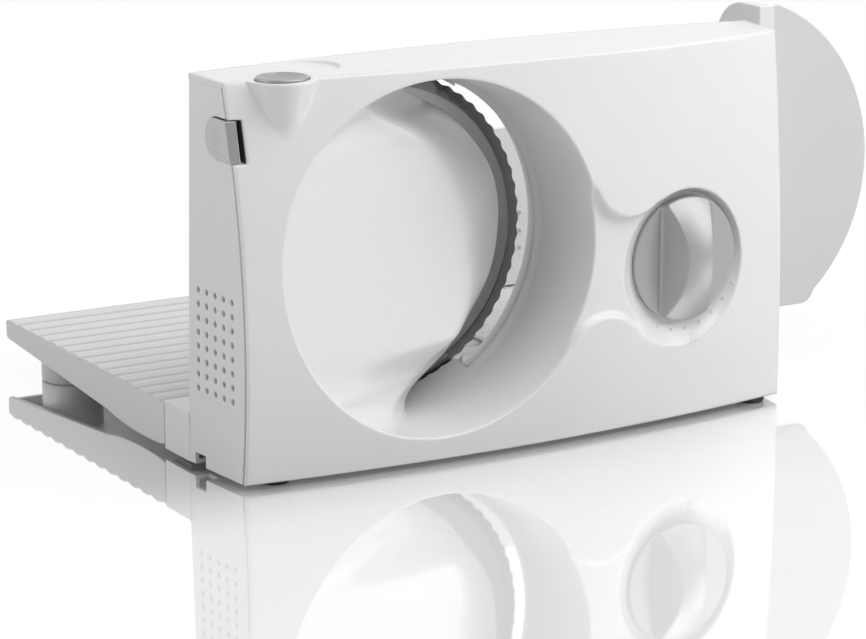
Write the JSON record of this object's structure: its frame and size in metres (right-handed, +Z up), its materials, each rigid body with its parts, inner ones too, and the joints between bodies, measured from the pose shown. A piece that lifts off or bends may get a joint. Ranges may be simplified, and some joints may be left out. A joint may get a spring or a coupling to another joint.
{
  "type": "food_slicer",
  "caption": "Upright electric food slicer with a round scalloped blade, dished slice outlet, thickness knob, fold-down ribbed table and sliding food carriage with remnant holder.",
  "frame": {"origin": "on the floor under the middle of the slicer's overall box", "axes": "+X runs along the upright body from its ventilated end to its knob end; +Y points from the slice outlet side to the food side; +Z is up"},
  "size_m": [0.4314, 0.3034, 0.207],
  "materials": {
    "white_plastic": "smooth white moulding with a soft shine",
    "pale_plastic": "pale grey-white moulding",
    "silver_plastic": "plastic with a satin silver coat",
    "blade_steel": "ground stainless steel",
    "plain_steel": "plain drawn steel",
    "motor_steel": "zinc-plated steel can",
    "bronze": "sintered bronze",
    "gear_plastic": "natural acetal",
    "dark_plastic": "dark moulded plastic",
    "dark_rubber": "soft black rubber"
  },
  "bodies": {
    "housing": {"front_cover": "white_plastic", "blade_cover": "white_plastic", "rear_housing": "white_plastic", "cord_gland": "dark_rubber", "front_foot_left": "dark_rubber", "front_foot_right": "dark_rubber", "rear_foot_left": "dark_rubber", "rear_foot_right": "dark_rubber", "housing_screw_upper_left": "plain_steel", "housing_screw_lower_left": "plain_steel", "housing_screw_upper_right": "plain_steel", "housing_screw_lower_right": "plain_steel", "drive_frame": "dark_plastic", "motor": "motor_steel", "blade_axle": "plain_steel", "power_spring": "plain_steel", "safety_spring": "plain_steel", "switch_block": "dark_plastic", "ribbed_table": "pale_plastic", "hinge_pin_left": "plain_steel", "hinge_pin_right": "plain_steel", "table_foot_left": "pale_plastic", "table_foot_right": "pale_plastic"},
    "blade_unit": {"blade": "blade_steel", "worm_wheel": "gear_plastic", "axle_bush": "bronze"},
    "rotor": {"worm_shaft": "plain_steel"},
    "lock": {"blade_lock": "pale_plastic"},
    "knob": {"thickness_knob": "silver_plastic", "knob_spindle": "gear_plastic"},
    "stop": {"stop_plate": "white_plastic"},
    "power": {"power_button": "silver_plastic"},
    "safety": {"safety_button": "silver_plastic"},
    "carriage": {"food_carriage": "white_plastic"},
    "holder": {"remnant_holder": "white_plastic"}
  },
  "joints": [
    {"name": "blade_spin", "type": "hinge", "parent": "housing", "child": "blade_unit", "pos_m": [-0.1057, -0.09225, 0.108], "axis": [0, 1, 0], "continuous": true},
    {"name": "motor_spin", "type": "hinge", "parent": "housing", "child": "rotor", "pos_m": [-0.1057, -0.10425, 0.0715], "axis": [1, 0, 0], "continuous": true},
    {"name": "blade_lock_turn", "type": "hinge", "parent": "blade_unit", "child": "lock", "pos_m": [-0.1057, -0.07825, 0.108], "axis": [0, 1, 0], "range_deg": [0, 90]},
    {"name": "knob_turn", "type": "hinge", "parent": "housing", "child": "knob", "pos_m": [0.0467, -0.137, 0.08945], "axis": [0.0558, -0.9984, 0], "range_deg": [0, 300]},
    {"name": "stop_slide", "type": "slide", "parent": "housing", "child": "stop", "axis": [0, -1, 0], "range_m": [0, 0.015]},
    {"name": "power_press", "type": "slide", "parent": "housing", "child": "power", "axis": [0, 0, -1], "range_m": [0, 0.004], "stiffness_N_per_m": 600, "deforming": ["power_spring"]},
    {"name": "safety_press", "type": "slide", "parent": "housing", "child": "safety", "axis": [1, 0, 0], "range_m": [0, 0.0024], "stiffness_N_per_m": 700, "deforming": ["safety_spring"]},
    {"name": "carriage_slide", "type": "slide", "parent": "housing", "child": "carriage", "axis": [1, 0, 0], "range_m": [-0.195, 0.01]},
    {"name": "holder_slide", "type": "slide", "parent": "carriage", "child": "holder", "axis": [0, 1, 0], "range_m": [-0.119, 0.01]}
  ],
  "couplings": [
    {"joint": "motor_spin", "follows": "blade_spin", "ratio": 30},
    {"joint": "stop_slide", "follows": "knob_turn", "m_per_rad": 0.0028648}
  ]
}
